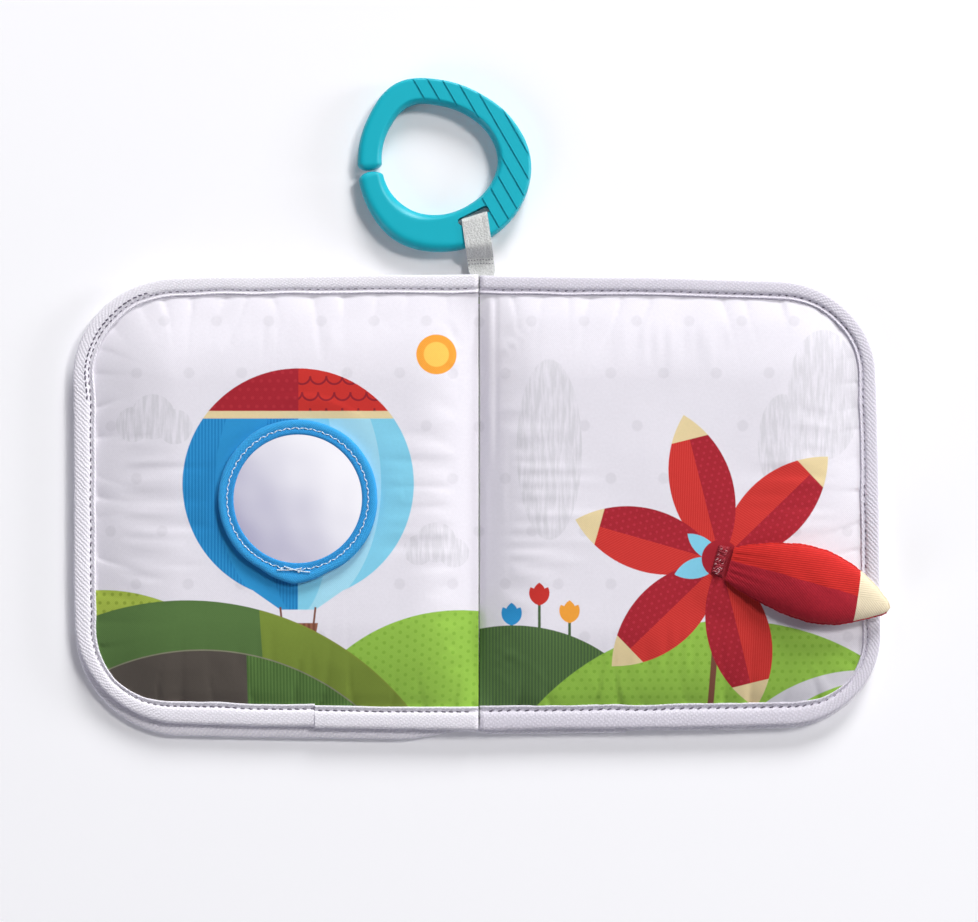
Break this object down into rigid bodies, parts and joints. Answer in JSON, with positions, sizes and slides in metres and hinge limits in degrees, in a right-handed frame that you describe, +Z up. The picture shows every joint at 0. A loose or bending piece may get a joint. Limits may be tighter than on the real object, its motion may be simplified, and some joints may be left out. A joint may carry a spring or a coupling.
{
  "type": "baby soft book",
  "caption": "Padded cloth book lying open, with taped leaves, a framed baby-safe mirror, a stuffed lift-up flap and a ribbon loop that holds a clip-on link ring.",
  "frame": {"origin": "middle of the spine's underside, on the surface that the open book lies on", "axes": "+X over the right page, +Y along the spine towards the ribbon loop, +Z up out of the open pages"},
  "size_m": [0.3243, 0.2647, 0.0234],
  "materials": {
    "printed_cloth": "woven polyester, printed",
    "green_cloth": "woven polyester",
    "blue_cloth": "woven polyester",
    "twill_tape": "twill binding tape",
    "wadding": "polyester wadding",
    "blue_woven_tape": "woven tape",
    "mirror_film": "metallised plastic sheet",
    "red_twill": "twill",
    "satin_ribbon": "satin ribbon",
    "teal_plastic": "satin moulded plastic"
  },
  "bodies": {
    "back_cover": {"back_cover_outer_cloth": "blue_cloth", "back_cover_padding": "wadding", "back_cover_inner_cloth": "green_cloth", "back_cover_binding": "twill_tape", "spine_seam": "twill_tape"},
    "front_cover": {"front_cover_outer_cloth": "blue_cloth", "front_cover_padding": "wadding", "front_cover_inner_cloth": "green_cloth", "front_cover_binding": "twill_tape"},
    "left_page": {"left_page_back_cloth": "green_cloth", "left_page_padding": "wadding", "left_page_face_cloth": "printed_cloth", "left_page_binding": "twill_tape", "mirror_backing_pad": "wadding", "mirror_sheet": "mirror_film", "mirror_frame": "blue_woven_tape"},
    "right_page": {"right_page_back_cloth": "green_cloth", "right_page_padding": "wadding", "right_page_face_cloth": "printed_cloth", "right_page_binding": "twill_tape", "flap_root_seam": "red_twill"},
    "flap": {"flap_top_cloth": "red_twill", "flap_stuffing": "wadding", "flap_under_cloth": "red_twill"},
    "hang_loop": {"hang_loop_ribbon": "satin_ribbon"},
    "link_ring": {"link_ring": "teal_plastic"}
  },
  "joints": [
    {"name": "front_cover_turn", "type": "hinge", "parent": "back_cover", "child": "front_cover", "pos_m": [0, 0, 0.01], "axis": [0, -1, 0], "range_deg": [-165, 0]},
    {"name": "left_page_turn", "type": "hinge", "parent": "front_cover", "child": "left_page", "pos_m": [0, 0, 0.01], "axis": [0, 1, 0], "range_deg": [0, 50]},
    {"name": "right_page_turn", "type": "hinge", "parent": "back_cover", "child": "right_page", "pos_m": [0, 0, 0.01], "axis": [0, -1, 0], "range_deg": [0, 75]},
    {"name": "flap_lift", "type": "hinge", "parent": "right_page", "child": "flap", "pos_m": [0.0996, -0.0232, 0.01375], "axis": [-0.2756, -0.9613, 0], "range_deg": [0, 110]},
    {"name": "loop_bend", "type": "hinge", "parent": "back_cover", "child": "hang_loop", "pos_m": [0.0016, 0.0912, 0.0036], "axis": [-1, 0, 0], "range_deg": [-70, 0]},
    {"name": "ring_swing", "type": "hinge", "parent": "hang_loop", "child": "link_ring", "pos_m": [0.00033, 0.10122, 0.0036], "axis": [0.9921, 0.1253, 0], "range_deg": [0, 90], "deforming": ["hang_loop_ribbon"]}
  ]
}
